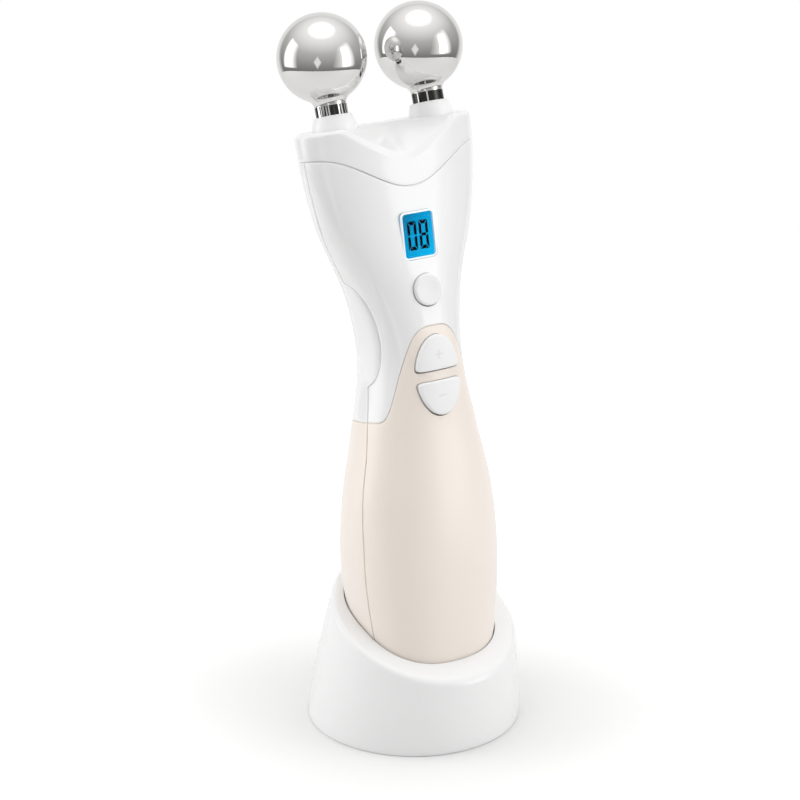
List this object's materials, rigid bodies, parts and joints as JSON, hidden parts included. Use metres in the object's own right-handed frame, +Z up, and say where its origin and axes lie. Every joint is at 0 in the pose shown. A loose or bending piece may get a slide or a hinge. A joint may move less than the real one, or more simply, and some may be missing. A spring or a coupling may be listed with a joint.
{
  "type": "facial toning device",
  "caption": "Cordless facial toning handset with ball probes, a small lit display and push buttons, standing in its slanted charging stand",
  "frame": {"origin": "centre of the stand's underside, on the surface it stands on", "axes": "+Z up and the part's longest extent, front of the handset and its display towards -Y, +X to the right of the display as seen from the front"},
  "size_m": [0.0626, 0.0665, 0.206],
  "materials": {
    "white_gloss": "glossy pearl white",
    "ivory": "satin ivory",
    "mirror_steel": "mirror polish",
    "milky_plastic": "milky translucent",
    "steel": "zinc plated",
    "brass": "gold plated",
    "lens": "clear, lit blue from behind",
    "glass": "clear with segments",
    "grey_plastic": "fine matt",
    "dark_plastic": "matt black",
    "board": "solder mask green",
    "coil": "ferrite and enamelled wire",
    "button_white": "satin white",
    "cell_sleeve": "shrink sleeve",
    "stand_white": "glossy white",
    "rubber": "matt"
  },
  "bodies": {
    "stand": {"stand_shell": "stand_white", "base_plate": "grey_plastic", "rubber_pad": "rubber", "base_screws": "steel", "charge_board": "board", "pin_block": "dark_plastic", "left_spring": "steel", "right_spring": "steel", "charge_inlet": "dark_plastic"},
    "handset": {"head_cap": "white_gloss", "front_shell": "white_gloss", "rear_shell": "white_gloss", "front_cover": "ivory", "rear_cover": "ivory", "foot_plate": "ivory", "foot_screws": "steel", "left_probe": "mirror_steel", "right_probe": "mirror_steel", "left_collar": "milky_plastic", "right_collar": "milky_plastic", "probe_nuts": "steel", "contact_tabs": "brass", "display_bezel": "white_gloss", "display_window": "lens", "display_glass": "glass", "backlight": "milky_plastic", "display_holder": "grey_plastic", "contact_strip": "rubber", "main_board": "board", "board_screws": "steel", "board_chips": "dark_plastic", "step_up_coil": "coil", "switch_bodies": "dark_plastic", "cell": "cell_sleeve", "cell_cradle": "grey_plastic", "charge_plates": "brass"},
    "power_button": {"power_button": "button_white", "power_plunger": "dark_plastic"},
    "plus_key": {"plus_key": "button_white", "plus_plunger": "dark_plastic"},
    "minus_key": {"minus_key": "button_white", "minus_plunger": "dark_plastic"},
    "left_pin": {"left_pin": "brass"},
    "right_pin": {"right_pin": "brass"}
  },
  "joints": [
    {"name": "handset_lift", "type": "slide", "parent": "stand", "child": "handset", "axis": [0, 0.225, 0.9744], "range_m": [0, 0.07]},
    {"name": "power_press", "type": "slide", "parent": "handset", "child": "power_button", "axis": [0, 0.9744, -0.225], "range_m": [0, 0.0006], "stiffness_N_per_m": 800},
    {"name": "plus_press", "type": "slide", "parent": "handset", "child": "plus_key", "axis": [0, 0.9744, -0.225], "range_m": [0, 0.0006], "stiffness_N_per_m": 800},
    {"name": "minus_press", "type": "slide", "parent": "handset", "child": "minus_key", "axis": [0, 0.9744, -0.225], "range_m": [0, 0.0006], "stiffness_N_per_m": 800},
    {"name": "left_pin_press", "type": "slide", "parent": "stand", "child": "left_pin", "axis": [0, 0.225, 0.9744], "range_m": [-0.001, 0], "stiffness_N_per_m": 300, "deforming": ["left_spring"]},
    {"name": "right_pin_press", "type": "slide", "parent": "stand", "child": "right_pin", "axis": [0, 0.225, 0.9744], "range_m": [-0.001, 0], "stiffness_N_per_m": 300, "deforming": ["right_spring"]}
  ]
}
